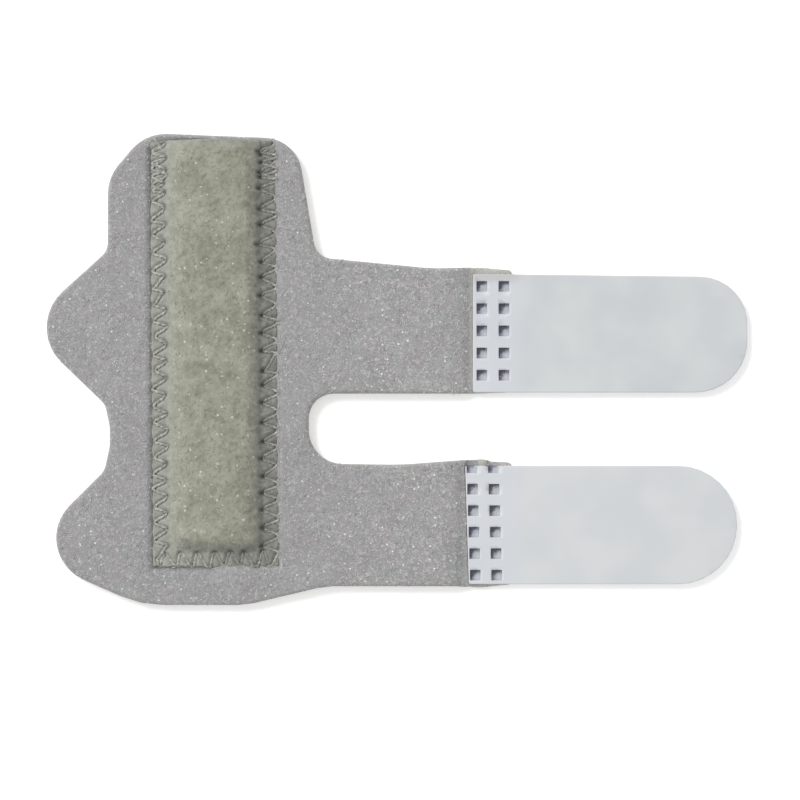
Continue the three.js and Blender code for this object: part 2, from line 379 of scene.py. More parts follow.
def brushedLoop():
    # brushed loop cloth on both faces of the foam, whose cut edge shows its warmer core
    look = loopLook
    finish = Finish("brushedLoop")
    broad = finish.patches(*look["broad"])
    hue = finish.patches(*look["hue"])
    curls = finish.patches(*look["curls"])
    fine = finish.patches(*look["fine"])
    lilac = finish.mix(broad, *look["lilac"])
    green = finish.mix(broad, *look["green"])
    cloth = finish.mix(hue, lilac, green)
    cloth = finish.lay(curls, look["curlTint"], cloth)
    cloth = finish.lay(finish.flecks(*look["knots"]), look["knotTint"], cloth)
    # painted highlight beside the seam's right edge
    cloth = finish.lay(finish.share("paintedSeamHighlight"), look["paintedSeamHighlightTint"], cloth)
    cloth = finish.lay(1 - fine, look["gapTint"], cloth)
    # painted glints
    cloth = finish.lay(finish.flecks(*look["dots"]), look["paintedGlint"], cloth)
    body = 1 - finish.ramp(finish.along, *look["bodyToStraps"])
    cloth = finish.lay(body, look["bodyTint"], cloth)
    core = finish.mix(fine, *look["core"])
    side = (finish.facing(2) < look["steep"]) * (finish.facing(2) > -look["steep"])
    coreLow, coreHigh = look["coreHeights"]
    between = (finish.height > coreLow) * (finish.height < coreHigh)
    colour = finish.mix(side * between, cloth, core)
    colour = finish.mix(finish.share("crushed"), colour, finish.mix(fine, *look["crushed"]))
    # painted shade along the seam
    colour = finish.lay(finish.share("seamShade"), look["paintedSeamShade"], colour)
    relief = curls * look["curlRise"] + fine * look["fineRise"]
    return finish.close(colour, look, relief)


feltLook = {
    "broad": (3.4 * mm, 3, 0.6, 0, 0.36, 0.64),
    "tuft": (1.2 * mm, 3, 0.6, 0.8, 0.34, 0.66),
    "fine": (0.25 * mm, 3, 0.65, 0, 0.3, 0.7),
    "dots": (0.9 * mm, 0.2 * mm, 0.4, 0.5 * mm, 0.35, 0.6),
    "pile": (shade(133, 134, 119), shade(157, 158, 143)),
    "tuftTint": (0.4, shade(174, 175, 161)),
    "gapTint": (0.06, shade(124, 125, 110)),
    # painted glints: small light specks
    "paintedGlint": (0.8, shade(212, 212, 204)),
    # the margin's grey, painted lit on the left and in painted shade on the right
    "paintedLitMargin": (shade(147, 148, 138), shade(163, 164, 154)),
    "paintedShadedMargin": (shade(116, 117, 110), shade(140, 141, 134)),
    # painted shade in the pocket's seam: its furrows and needle holes
    "paintedSeamShade": (0.8, shade(60, 60, 55)),
    "tuftRise": 0.8,
    "fineRise": 0.5,
    "relief": 0.04 * mm,
    "roughness": 0.97,
    "sheen": 0.3,
    "specular": 0.12,
}


def felt():
    # the pocket's felted pile, greyer with wear in its margins, with painted shade on the side away from the
    # light and a painted lit tone on the other
    look = feltLook
    finish = Finish("pileFelt")
    broad = finish.patches(*look["broad"])
    tuft = finish.patches(*look["tuft"])
    fine = finish.patches(*look["fine"])
    colour = finish.mix(broad, *look["pile"])
    colour = finish.lay(tuft, look["tuftTint"], colour)
    colour = finish.lay(1 - fine, look["gapTint"], colour)
    # painted glints
    colour = finish.lay(finish.flecks(*look["dots"]), look["paintedGlint"], colour)
    # the margin's grey, painted lit on the left and in painted shade on the right
    light = finish.mix(tuft, *look["paintedLitMargin"])
    dark = finish.mix(tuft, *look["paintedShadedMargin"])
    wornAndShaded = finish.mix(finish.share("lee"), light, dark)
    colour = finish.mix(finish.share("margin"), colour, wornAndShaded)
    # painted shade in the seam's furrows and needle holes
    colour = finish.lay(finish.share("seamShade"), look["paintedSeamShade"], colour)
    relief = tuft * look["tuftRise"] + fine * look["fineRise"]
    return finish.close(colour, look, relief)


fibreLook = {
    "tone": (0.36, 0.64),
    "bright": (0.33 * mm, 0, 0.5, 0, 0.68, 0.76),
    "dots": (0.9 * mm, 0.17 * mm, 0.3, 0.5 * mm, 0.35, 0.6),
    "brightTint": (0.55, shade(220, 220, 217)),
    # painted glints on the fibres
    "paintedGlintColour": shade(244, 244, 244),
    # the margin's grey on the pile fibres, painted lit and in painted shade
    "margin": (shade(152, 153, 144), shade(126, 127, 120)),
    "threadLee": (-38 * mm, -25 * mm),  # painted shade: the thread darkens from the left seam to the right one, away from the light
    "threadEdge": (-21.7 * mm, -20.7 * mm),  # but not where it turns over the right edge, which is lit
    "threadEdgeLight": 0.8,
    "paintedThreadShade": (0.8, shade(128, 129, 123)),
}
hair = {"roughness": 0.6, "sheen": 0.2, "specular": 0.3}
yarn = {"roughness": 0.8, "sheen": 0.2, "specular": 0.15}


def inMargin(finish, colour):
    # painted shade on the fibres of the margin away from the light
    greyedAndShaded = finish.mix(finish.share("lee"), *fibreLook["margin"])
    return finish.mix(finish.share("margin"), colour, greyedAndShaded)


def alongSeam(finish, colour):
    # painted shade along the thread, darker towards the right seam
    lee = finish.ramp(finish.along, *fibreLook["threadLee"])
    lee = lee * (1 - fibreLook["threadEdgeLight"] * finish.ramp(finish.along, *fibreLook["threadEdge"]))
    return finish.lay(lee, fibreLook["paintedThreadShade"], colour)


def fibre(name, tones, surface, patch=0.7 * mm, sparkle=0.9, change=None):
    # yarn or nap; change is what its place on the splint does to its colour: the margin's grey with painted
    # shade for the pile, painted shade for the thread
    look = fibreLook
    finish = Finish(name)
    tone = finish.ramp(finish.grain(patch, 2), *look["tone"])
    bright = finish.patches(*look["bright"])
    colour = finish.mix(tone, *tones)
    if change:
        colour = change(finish, colour)
    colour = finish.lay(bright, look["brightTint"], colour)
    # painted glints, as much as sparkle gives
    colour = finish.lay(finish.flecks(*look["dots"]), (sparkle, look["paintedGlintColour"]), colour)
    return finish.close(colour, surface)


tapeLook = {
    "broad": (9 * mm, 2, 0.5, 0, 0.3, 0.7),
    "fine": (0.35 * mm, 3, 0.6),
    "tape": (shade(199, 203, 206), shade(208, 211, 211)),
    "lowerTint": (0.3, shade(219, 220, 222)),  # the lower tab is a little paler
    "lowerBelow": -8 * mm,
    "weld": (19 * mm, 23 * mm),
    "weldTint": (0.6, shade(207, 210, 217)),
    "lap": (14.6 * mm, 16.4 * mm),  # a strip of melted foam along the upper weld
    "lapWander": 1.2 * mm,
    "lapWanderSize": 1.5 * mm,
    "lapTint": (0.7, shade(188, 185, 186)),
    # painted shadow in the pits, broken up by a grain
    "pitShadowSize": 0.5 * mm,
    "pitShadowWander": 0.5,
    "pitShadow": (0.44, 0.66),
    # the pits' bluish film: its lit tone and its tone in painted shadow
    "pit": (shade(184, 187, 194), shade(104, 106, 120)),
    "inPit": 0.02,
    "gloss": 0.42,
    "glossWander": 0.12,
    "glossSize": 2.5 * mm,
    "relief": 0.008 * mm,
    "specular": 0.4,
}


def mouldedTape():
    # smooth moulded tape, melted at the weld, its pits' bluish film lit towards the lower right and in
    # painted shadow towards the upper left
    look = tapeLook
    finish = Finish("mouldedTape")
    broad = finish.patches(*look["broad"])
    fine = finish.grain(*look["fine"])
    colour = finish.mix(broad, *look["tape"])
    colour = finish.lay(finish.across < look["lowerBelow"], look["lowerTint"], colour)
    melted = 1 - finish.ramp(finish.along, *look["weld"])
    colour = finish.lay(melted, look["weldTint"], colour)
    edge = finish.across + look["lapWander"] * finish.grain(look["lapWanderSize"], 1)
    colour = finish.lay(melted * finish.ramp(edge, *look["lap"]), look["lapTint"], colour)
    wander = look["pitShadowWander"]
    # painted shadow towards each pit's upper left corner, the lit floor towards its lower right
    corner = finish.share("pitCorner") + wander * finish.grain(look["pitShadowSize"], 2) - wander / 2
    pitFilmAndShade = finish.mix(finish.ramp(corner, *look["pitShadow"]), *look["pit"])
    colour = finish.mix(finish.share("pit") > look["inPit"], colour, pitFilmAndShade)
    gloss = look["gloss"] + look["glossWander"] * finish.grain(look["glossSize"], 2)
    return finish.close(colour, look, fine, gloss)


loopCloth = brushedLoop()
pileFelt = felt()
napFibre = fibre("napFibre", (shade(164, 163, 164), shade(226, 225, 225)), hair)
pileTones = (shade(152, 153, 138), shade(171, 172, 156))
pileFibre = fibre("pileFibre", pileTones, yarn, patch=1.8 * mm, change=inMargin)
threadTones = (shade(146, 147, 140), shade(182, 182, 176))
threadFinish = fibre("sewingThread", threadTones, yarn, sparkle=0, change=alongSeam)
tapeFinish = mouldedTape()
print("materials are made")

# the pocket's own lengths: u across it from its centre line, v along it from its lower edge
pocketLow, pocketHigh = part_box("bar_pocket")
pocketInset = 0.1 * mm  # what the felted surface adds at each end
pocket = {
    "width": 21.4 * mm,
    "lean": math.radians(0.4),
    "centreX": (pocketLow.x + pocketHigh.x) / 2,
    "foot": pocketLow.y + pocketInset,
    "length": pocketHigh.y - pocketLow.y - 2 * pocketInset,
    "marginTop": 2.16 * mm,  # height of the cloth in the seam, which lies pulled into the foam
    "mouthTop": 2.7 * mm,  # and at its open end, where nothing pulls it down
    "mouthRun": 2.5 * mm,
    "mouthSides": (7.2 * mm, 8.6 * mm),
    "crest": 2.2 * mm,  # how far the cloth rises over the bar's space
    "leftFoot": 8.3 * mm,
    "leftShoulder": 4.6 * mm,
    "rightFoot": 8.1 * mm,
    "rightShoulder": 6.1 * mm,
    "endFoot": 2.4 * mm,
    "endRise": 3.0 * mm,
    "bow": 0.12,  # how much lower the rise is at its left shoulder than in its middle
    "droop": 0.3,  # and at the mouth
    "droopRun": 2.2 * mm,
    "thickness": 0.75 * mm,
    "cell": 0.45 * mm,
    "heldBelow": 0.04,  # the seam holds the cloth that has risen less than this
    "sewn": (0.05, 0.4),
    "bulge": (0.75 * mm, 0.35 * mm),  # the cloth swells beside the thread
    "bulgeHeight": 0.10 * mm,
    "holeDip": 0.25 * mm,
    "prickDip": 0.3 * mm,
    "edgeRun": 1.4 * mm,  # the outer holes pull the cloth's edge in
    "edgePull": 0.3 * mm,
    "edgeReach": 0.9 * mm,
    "sideFrom": 9 * mm,
    "endUnder": 1.5 * mm,
    "lipRun": (1.7 * mm, 1.0 * mm),  # the folded lip at the mouth
    "lipSide": 8 * mm,
    "tufts": (1.5 * mm, 0.26 * mm),
    "felting": (0.55 * mm, 0.10 * mm),
    # how far the cloth has risen where the margin's wear and painted shade fade out
    "wornAndShaded": (0.0, 0.6),
    "felted": (0.3, 0.7),  # how felted the margins are, and what the rise adds
    "feltLoss": (0.7, 0.3),  # what the lip and the furrow take away
    "leastFelt": 0.05,
    "lipWorn": 0.6,
    "leeShades": (0.8, 0.2),  # how dark the painted shade of the lee is at the lower end, and what is added above
    # how much of that painted shade the lip loses
    "lipLight": 0.7,
    "furrowShades": (0.1, 0.25),  # painted shade in the thread's furrow, on the left and on the right
    "holeShades": (0.5, 1.1),  # painted shade of the thread's holes and of the open ones
    "covered": (0.45, 0.1),  # how thick the pile is in the margins, and at least
    "slopeBare": 0.6,
    "seamBare": 0.5,
    "leftSlope": (-8.4 * mm, -5.2 * mm),
    "lee": (-6 * mm, 6 * mm),
    "lowerEnd": (1 * mm, 4 * mm),
}
cosine, sine = math.cos(pocket["lean"]), math.sin(pocket["lean"])


def toFrame(u, v):
    x, y = np.asarray(u), np.asarray(v) - pocket["length"] / 2
    middle = pocket["foot"] + pocket["length"] / 2
    return pocket["centreX"] + cosine * x - sine * y, middle + sine * x + cosine * y


def toPocket(x, y):
    middle = pocket["foot"] + pocket["length"] / 2
    x, y = np.asarray(x) - pocket["centreX"], np.asarray(y) - middle
    return cosine * x + sine * y, cosine * y - sine * x + pocket["length"] / 2


def outside(u, v):
    # distance out past the pocket's sewn edges, below 0 inside them
    return np.maximum(np.abs(u) - pocket["width"] / 2, -v)


# the zigzag seam's needle holes
seam = {
    "leftOuter": 0.4 * mm,  # from the cloth's edge to the outer holes
    "outer": 0.0 * mm,
    "inner": 2.5 * mm,
    "leftStep": 2.9 * mm,
    "lowerStep": 2.8 * mm,
    "rightStep": 3.0 * mm,
    "leftTack": 10.5 * mm,  # sewn over twice at the mouth
    "rightTack": 6 * mm,
    "tackStep": 2.2 * mm,
    "mouthGap": 0.8 * mm,  # from the mouth down to the first hole
    "leftEnds": (0.5 * mm, 1.9 * mm),  # how far each run stays from the last one's corner
    "lowerEnds": (0.8 * mm, 1.4 * mm),
    "rightStart": 1.8 * mm,
    "tackSlip": 0.6 * mm,
    "skew": 0.13,  # each way back slants more than the way in
    "wander": 0.19 * mm,
    "strand": 0.19 * mm,
    "plyOffset": 0.09 * mm,
    "sunk": 0.16 * mm,  # how much deeper it lies on the right and below
    "dive": 0.10 * mm,  # how far it goes under the cloth in a hole, and lies over it between two
    "lift": 0.16 * mm,
    "twist": 1.5 * mm,
    "tailPly": 0.08 * mm,
    "tailStep": 0.2 * mm,
    "tailFrom": (1.95 * mm, 1.35 * mm),  # the cut end, from the pocket's upper left corner
    # its points from there and its heights over the cloth, in mm
    "tail": ((0, 0, -0.1), (-0.35, 0.75, 0.3), (-0.85, 1.3, 0.3), (-1.15, 1.95, 0.2)),
    "lowerHeights": (0.36 * mm, 0.21 * mm),
    "lowerPly": 0.06 * mm,
    "lowerStrand": 0.085 * mm,
    "furrow": 0.32 * mm,
    "furrowReach": 0.42 * mm,
    "holeReach": 0.42 * mm,
    "prick": 0.30 * mm,  # the open needle holes on the right, and how far in from the thread's turns
    "prickOffset": 0.42 * mm,
    "parts": 4,  # points to each stitch
    "turnSteps": 7,  # and to each turn of the twist
    "lowerTurnSteps": 5,
    "near": 2 * mm,  # how far from the thread it is looked for
    "far": 9 * mm,
}


def zigzag(start, end, step, outerFirst):
    count = max(2, round(abs(end - start) / (step / 2)))
    along = np.linspace(start, end, count + 1)
    slip = seam["skew"] * step * np.sign(end - start)
    return [(a + slip * (i % 2 == 0), (i % 2 == 0) == outerFirst) for i, a in enumerate(along)]


def needleHoles():
    # the seam's run: up the left tack, down the left, along the bottom, up the right, down its tack
    random = np.random.default_rng(41)
    half, mouth = pocket["width"] / 2, pocket["length"] - seam["mouthGap"]
    left = {True: seam["leftOuter"] - half, False: seam["inner"] - half}
    right = {True: half - seam["outer"], False: half - seam["inner"]}
    depth = {True: seam["outer"], False: seam["inner"]}
    lowerStart, lowerEnd = seam["lowerEnds"]
    runs = (
        (left, zigzag(mouth - seam["leftTack"], mouth, seam["tackStep"], False)),
        (left, zigzag(mouth - seam["leftEnds"][0], seam["leftEnds"][1], seam["leftStep"], True)),
        (None, zigzag(lowerStart - half, half - lowerEnd, seam["lowerStep"], True)),
        (right, zigzag(seam["rightStart"], mouth, seam["rightStep"], True)),
        (right, zigzag(mouth - seam["tackSlip"], mouth - seam["rightTack"], seam["tackStep"], False)),
    )
    found = []
    for side, run in runs:
        for place, outer in run:
            found.append((side[outer], place, outer) if side else (place, depth[outer], outer))
    places = np.array([(u, v) for u, v, outer in found])
    places += random.normal(0, seam["wander"], places.shape)
    print("the seam has", len(places), "needle holes")
    return places, np.array([outer for u, v, outer in found])


holes, holeIsOuter = needleHoles()


def dips(u, v, places, radius):
    # 1 at a hole, falling off round it
    found = np.zeros(len(u))
    for holeU, holeV in places:
        near = (np.abs(u - holeU) < 3 * radius) & (np.abs(v - holeV) < 3 * radius)
        away = ((u[near] - holeU) ** 2 + (v[near] - holeV) ** 2) / radius**2
        found[near] = np.maximum(found[near], np.exp(-away))
    return found


def threadCourse():
    # from hole to hole with round turns: even along the seam, eased across it
    course = []
    for start, end in zip(holes[:-1], holes[1:]):
        wide = np.abs(end - start) == np.abs(end - start).max()
        for part in np.arange(seam["parts"]) / seam["parts"]:
            eased = 0.5 - 0.5 * math.cos(math.pi * part)
            course.append(start + (end - start) * np.where(wide, eased, part))
    return np.array(course + [holes[-1]])


course = threadCourse()


def fromThread(u, v):
    # each point's distance from the thread's course
    found = np.full(len(u), seam["far"])
    for start, end in zip(course[:-1], course[1:]):
        middle, way = (start + end) / 2, end - start
        near = (np.abs(u - middle[0]) < seam["near"]) & (np.abs(v - middle[1]) < seam["near"])
        part = ((u[near] - start[0]) * way[0] + (v[near] - start[1]) * way[1]) / (way @ way)
        part = np.clip(part, 0, 1)
        away = np.hypot(u[near] - start[0] - part * way[0], v[near] - start[1] - part * way[1])
        found[near] = np.minimum(found[near], away)
    return found


# the foam wrap
wrap = {
    "voxel": 0.36 * mm,
    "topFace": (1.0 * mm, 1.9 * mm),  # heights between which a point comes to count as the top face
    "underFace": (0.1 * mm, 0.5 * mm),
    "press": 0.95 * mm,  # how far the seam pulls the foam down
    "pressOuter": (-0.45 * mm, 0.1 * mm),  # where that fades, out from the cloth's edge
    "pressInner": (-4.4 * mm, -2.9 * mm),
    "pressMouth": (-0.7 * mm, 0.1 * mm),
    "lap": 0.2 * mm,  # how far the foam laps over the cloth's edge
    "holeDip": 0.15 * mm,
    "holeReach": 0.6 * mm,
    "crease": (0.3 * mm, 0.26 * mm),
    "creaseDepths": (0.3 * mm, 0.1 * mm),  # on the left and on the right
    "slitDepth": 0.4 * mm,  # a slit under the mouth's left part
    "slitMiddle": 0.05 * mm,
    "slitWidth": (0.05 * mm, 0.55 * mm),
    "slitStart": (-9.4 * mm, -8.4 * mm),
    "slitEnd": (-5.6 * mm, 0.5 * mm),
    "channel": 0.42 * mm,  # groove under the wrap for the lower thread
    "channelInner": (-3.2 * mm, -2.6 * mm),
    "channelOuter": (0.3 * mm, 0.9 * mm),
    "approach": 1.8 * mm,  # over this length the strap sinks to the tape
    "approachDepth": 0.55 * mm,
    "approachSide": 2 * mm,
    "seat": 0.88 * mm,  # height of the crushed foam under a tape's weld
    "seatFrom": 11 * mm,
    "crushedHeights": (0.6 * mm, 0.8 * mm),
    "crushedAlong": (11 * mm, 14 * mm),
    "crushedBelow": (1.2 * mm, 1.6 * mm),
    "sway": (9 * mm, 0.35 * mm),
    "mottle": (0.8 * mm, 0.10 * mm),
    "edgeShade": (0.08 * mm, 0.34 * mm),  # the painted shadow line at the cloth's left edge
    "edgePulled": 1.0 * mm,
    "edgeShades": (0.75, 0.45),  # how dark it is between two holes, and what a hole adds
    "slitShade": 0.35,
    "holeShade": 0.4,
    "paintedEdgeHighlight": (0.35 * mm, 0.4 * mm),  # and the painted highlight beside its right edge, where the foam rises into the light
    "napFrom": -0.1 * mm,
}


def makeWrap():
    piece = copyOfNode("foam_pad", "foam_wrap")
    applyModifier(piece, "REMESH", mode="VOXEL", voxel_size=wrap["voxel"])
    points = readPoints(piece)
    u, v = toPocket(points[:, 0], points[:, 1])
    up = v - pocket["length"]
    out = outside(u, v)
    sewnDown = up < -seam["mouthGap"]
    loft = smooth(*wrap["topFace"], points[:, 2])
    bottom = 1 - smooth(*wrap["underFace"], points[:, 2])
    crushed = smooth(*wrap["crushedHeights"], points[:, 2]) * smooth(*wrap["crushedAlong"], points[:, 0])
    # pressed down under the cloth's margin, dimpled at the holes and creased along its edge
    lap = np.where(u > -pocket["width"] / 2, wrap["lap"], 0)
    pressed = 1 - smooth(*wrap["pressOuter"], out + lap)
    pressed *= smooth(*wrap["pressInner"], out)
    pressed *= 1 - smooth(*wrap["pressMouth"], up)
    dipped = dips(u, v, holes, wrap["holeReach"]) * sewnDown
    crease = ridge(*wrap["crease"], out) * sewnDown * np.where(u < 0, *wrap["creaseDepths"])
    slit = 1 - smooth(*wrap["slitWidth"], np.abs(up - wrap["slitMiddle"]))
    slit *= smooth(*wrap["slitStart"], u) * (1 - smooth(*wrap["slitEnd"], u))
    sunk = wrap["press"] * pressed + wrap["holeDip"] * dipped + crease + wrap["slitDepth"] * slit
    points[:, 2] -= loft * sunk
    # grooved underneath for the lower thread
    run = smooth(*wrap["channelInner"], out) * (1 - smooth(*wrap["channelOuter"], out)) * sewnDown
    points[:, 2] += bottom * wrap["channel"] * run
    # sunk towards each tape, and flat under its weld
    tapes = []
    for node in ("upper_hook_tab", "lower_hook_tab"):
        low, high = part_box(node)
        beside = points[:, 1] > low.y - wrap["approachSide"]
        beside &= points[:, 1] < high.y + wrap["approachSide"]
        sunk = beside * smooth(low.x - wrap["approach"], low.x, points[:, 0])
        points[:, 2] -= loft * wrap["approachDepth"] * sunk
        tapes.append(treeOf(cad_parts[node]))
    for i in np.nonzero((points[:, 0] > wrap["seatFrom"]) & (points[:, 2] > wrap["seat"]))[0]:
        under = Vector((points[i, 0], points[i, 1], -1 * mm))
        if any(tape.ray_cast(under, Vector((0, 0, 1)))[0] for tape in tapes):
            points[i, 2] = wrap["seat"]
            loft[i] = 0
    writePoints(piece, points)
    weigh(piece, "loft", loft)
    for name in ("sway", "mottle"):
        ripple(piece, "loft", name, *wrap[name])
    points = readPoints(piece)
    points[:, 2] = np.clip(points[:, 2], 0, None)
    writePoints(piece, points)
    piece.vertex_groups.clear()
    # what its finish and its nap read, painted shade and a painted highlight among them
    share(piece, "crushed", crushed * (1 - smooth(*wrap["crushedBelow"], points[:, 2])))
    # painted shadow line along the cloth's left edge, darker at its outer holes
    edgeLine = ridge(*wrap["edgeShade"], out) * sewnDown * (u < 0)
    between, atHole = wrap["edgeShades"]
    edgeLine *= between + atHole * dips(u, v, holes[holeIsOuter], wrap["edgePulled"])
    shadow = np.maximum(wrap["slitShade"] * slit, wrap["holeShade"] * dipped)
    share(piece, "seamShade", loft * np.maximum(shadow, np.clip(edgeLine, 0, 1)))
    # painted highlight where the foam beside the right edge faces the light
    share(piece, "paintedSeamHighlight", loft * ridge(*wrap["paintedEdgeHighlight"], out) * (u > 0) * sewnDown)
    share(piece, "napDensity", loft * ((out > wrap["napFrom"]) | ~sewnDown) * (1 - slit))
    return settle(piece, loopCloth)


foamWrap = makeWrap()
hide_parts("foam_pad")


# the pocket's cloth
def crown(u, v):
    # how far the cloth has risen over the bar's space, from 0 to 1
    left = smooth(-pocket["leftFoot"], -pocket["leftShoulder"], u)
    right = 1 - smooth(pocket["rightShoulder"], pocket["rightFoot"], u)
    end = smooth(pocket["endFoot"], pocket["endFoot"] + pocket["endRise"], v)
    bow = 1 - pocket["bow"] * (u / pocket["leftShoulder"]) ** 2
    droop = 1 - pocket["droop"] * smooth(pocket["length"] - pocket["droopRun"], pocket["length"], v)
    return left * right * end * bow * droop


puff = {
    "scale": 100,
    "frames": 20,
    "most": 0.25 * mm,  # no point of the cloth moves further than this
    "cloth": {
        "quality": 6,
        "mass": 0.4,
        "tension_stiffness": 12,
        "compression_stiffness": 12,
        "bending_stiffness": 0.4,
        "vertex_group_mass": "held",
        "use_pressure": True,
        "uniform_pressure_force": 4,
        "shrink_min": -0.03,
    },
}


def inflate(piece, held):
    # a short cloth run at a larger scale, pushed up from inside, with the seam held
    start = readPoints(piece)
    writePoints(piece, start * puff["scale"])
    pin = piece.vertex_groups.new(name="held")
    pin.add(np.nonzero(held)[0].tolist(), 1.0, "REPLACE")
    pick(piece)
    cloth = piece.modifiers.new("cloth", "CLOTH")
    for name, value in puff["cloth"].items():
        setattr(cloth.settings, name, value)
    cloth.settings.effector_weights.gravity = 0
    cloth.point_cache.frame_start = 1
    cloth.point_cache.frame_end = puff["frames"]
    for count in range(1, puff["frames"] + 1):
        bpy.context.scene.frame_set(count)
    bpy.ops.object.modifier_apply(modifier=cloth.name)
    bpy.context.scene.frame_set(1)
    moved = np.clip(readPoints(piece) / puff["scale"] - start, -puff["most"], puff["most"])
    print("the pocket's cloth moved up to", round(float(np.abs(moved).max() / mm), 2), "mm")
    writePoints(piece, start + moved)
    piece.vertex_groups.clear()


def makePocket():
    columns = round(pocket["width"] / pocket["cell"])
    rows = round(pocket["length"] / pocket["cell"])
    bpy.ops.object.select_all(action="DESELECT")
    bpy.ops.mesh.primitive_grid_add(x_subdivisions=columns, y_subdivisions=rows, size=1)
    piece = bpy.context.object
    piece.name = "pocket_cloth"
    points = readPoints(piece)
    u = points[:, 0] * pocket["width"]
    v = (points[:, 1] + 0.5) * pocket["length"]
    mouth = smooth(pocket["length"] - pocket["mouthRun"], pocket["length"], v)
    mouth *= 1 - smooth(*pocket["mouthSides"], np.abs(u))
    base = pocket["marginTop"] + (pocket["mouthTop"] - pocket["marginTop"]) * mouth
    risen = crown(u, v)
    writePoints(piece, np.column_stack((u, v, base + pocket["crest"] * risen)))
    inflate(piece, risen < pocket["heldBelow"])
    applyModifier(piece, "SUBSURF", levels=1, render_levels=1)
    # the seam draws it down along the thread, at the holes and at its edge
    points = readPoints(piece)
    u, v = points[:, 0].copy(), points[:, 1].copy()
    risen = crown(u, v)
    away = fromThread(u, v)
    hole = dips(u, v, holes, seam["holeReach"])
    sewn = 1 - smooth(*pocket["sewn"], risen)
    furrow = ridge(0, seam["furrowReach"], away)
    bulge = ridge(*pocket["bulge"], away)
    atRight = holes[:, 0] > pocket["sideFrom"] - seam["inner"]
    prick = dips(u, v, holes[~holeIsOuter & atRight] - (seam["prickOffset"], 0), seam["prick"])
    points[:, 2] += sewn * (pocket["bulgeHeight"] * bulge - seam["furrow"] * furrow)
    points[:, 2] -= pocket["holeDip"] * hole + pocket["prickDip"] * prick
    edge = smooth(-pocket["edgeRun"], 0, outside(u, v))
    pulled = pocket["edgePull"] * dips(u, v, holes[holeIsOuter], pocket["edgeReach"]) * edge
    points[:, 0] -= np.sign(u) * pulled * (np.abs(u) > pocket["sideFrom"])
    points[:, 1] += pulled * (v < pocket["endUnder"])
    points[:, 0], points[:, 1] = toFrame(points[:, 0], points[:, 1])
    writePoints(piece, points)
    # felted where it isn't sewn down, most on its crest
    lipStart, lipEnd = (pocket["length"] - run for run in pocket["lipRun"])
    lip = smooth(lipStart, lipEnd, v) * (np.abs(u) < pocket["lipSide"])
    (base, rise), (atLip, inFurrow) = pocket["felted"], pocket["feltLoss"]
    felted = base + rise * risen - atLip * lip - inFurrow * furrow
    weigh(piece, "pile", np.clip(felted, pocket["leastFelt"], 1))
    for name in ("tufts", "felting"):
        ripple(piece, "pile", name, *pocket[name], "NORMAL")
    piece.vertex_groups.clear()
    # what its finish and its pile read, painted shade among them
    # the margin, with its wear and painted shade, takes in the left slope too
    slope = 1 - smooth(*pocket["leftSlope"], u)
    margin = np.maximum(1 - smooth(*pocket["wornAndShaded"], risen), slope)
    share(piece, "margin", np.maximum(margin, pocket["lipWorn"] * lip))
    # painted shade: the margin away from the light darkens, more above its lower end and less at the lip
    below, above = pocket["leeShades"]
    lee = smooth(*pocket["lee"], u) * (below + above * smooth(*pocket["lowerEnd"], v))
    share(piece, "lee", lee * (1 - pocket["lipLight"] * lip))
    # painted shade in the thread's furrows and in the needle holes
    atThread, atPrick = pocket["holeShades"]
    shadow = np.where(u < 0, *pocket["furrowShades"]) * sewn * furrow + atThread * hole + atPrick * prick
    share(piece, "seamShade", np.clip(shadow, 0, 1) * (1 - lip))
    bare = pocket["seamBare"] * (np.maximum(furrow, prick) * sewn)
    inMargins, least = pocket["covered"]
    cover = np.clip(inMargins + risen - pocket["slopeBare"] * slope - lip, least, 1)
    share(piece, "pileDensity", cover * (1 - bare))
    applyModifier(piece, "SOLIDIFY", thickness=pocket["thickness"], offset=-1)
    return settle(piece, pileFelt)


pocketCloth = makePocket()
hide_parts("bar_pocket")


# the sewing thread
def drop(x, y, trees):
    # the highest surface under a point
    found = [tree.ray_cast(Vector((float(x), float(y), 10 * mm)), Vector((0, 0, -1)))[0] for tree in trees]
    return max(hit.z for hit in found if hit is not None)


def tubes(name, paths, radius, sides=1, resolution=4):
    # round tubes along smooth paths, as one mesh
    curve = bpy.data.curves.new(name, "CURVE")
    curve.dimensions = "3D"
    curve.resolution_u = resolution
    curve.bevel_depth = radius
    curve.bevel_resolution = sides
    curve.use_fill_caps = True
    for points in paths:
        spline = curve.splines.new("BEZIER")
        spline.bezier_points.add(len(points) - 1)
        for knot, point in zip(spline.bezier_points, points):
            knot.co = point
            knot.handle_left_type = knot.handle_right_type = "AUTO"
    piece = bpy.data.objects.new(name, curve)
    bpy.context.scene.collection.objects.link(piece)
    pick(piece)
    bpy.ops.object.convert(target="MESH")
    return bpy.context.object


def rounded(points, cell):
    # a smooth path through the points, in even steps
    points = np.asarray(points)
    ahead = np.vstack((points[1:], points[-1:] * 2 - points[-2:-1]))
    behind = np.vstack((points[:1] * 2 - points[1:2], points[:-1]))
    slope = (ahead - behind) / 2
    path = []
    for i in range(len(points) - 1):
        count = max(2, round(np.linalg.norm(points[i + 1] - points[i]) / cell))
        t = np.arange(count)[:, None] / count
        a = (1 + 2 * t) * (1 - t) ** 2 * points[i] + t * (1 - t) ** 2 * slope[i]
        path.append(a + t * t * (3 - 2 * t) * points[i + 1] + t * t * (t - 1) * slope[i + 1])
    return np.vstack(path + [points[-1:]])


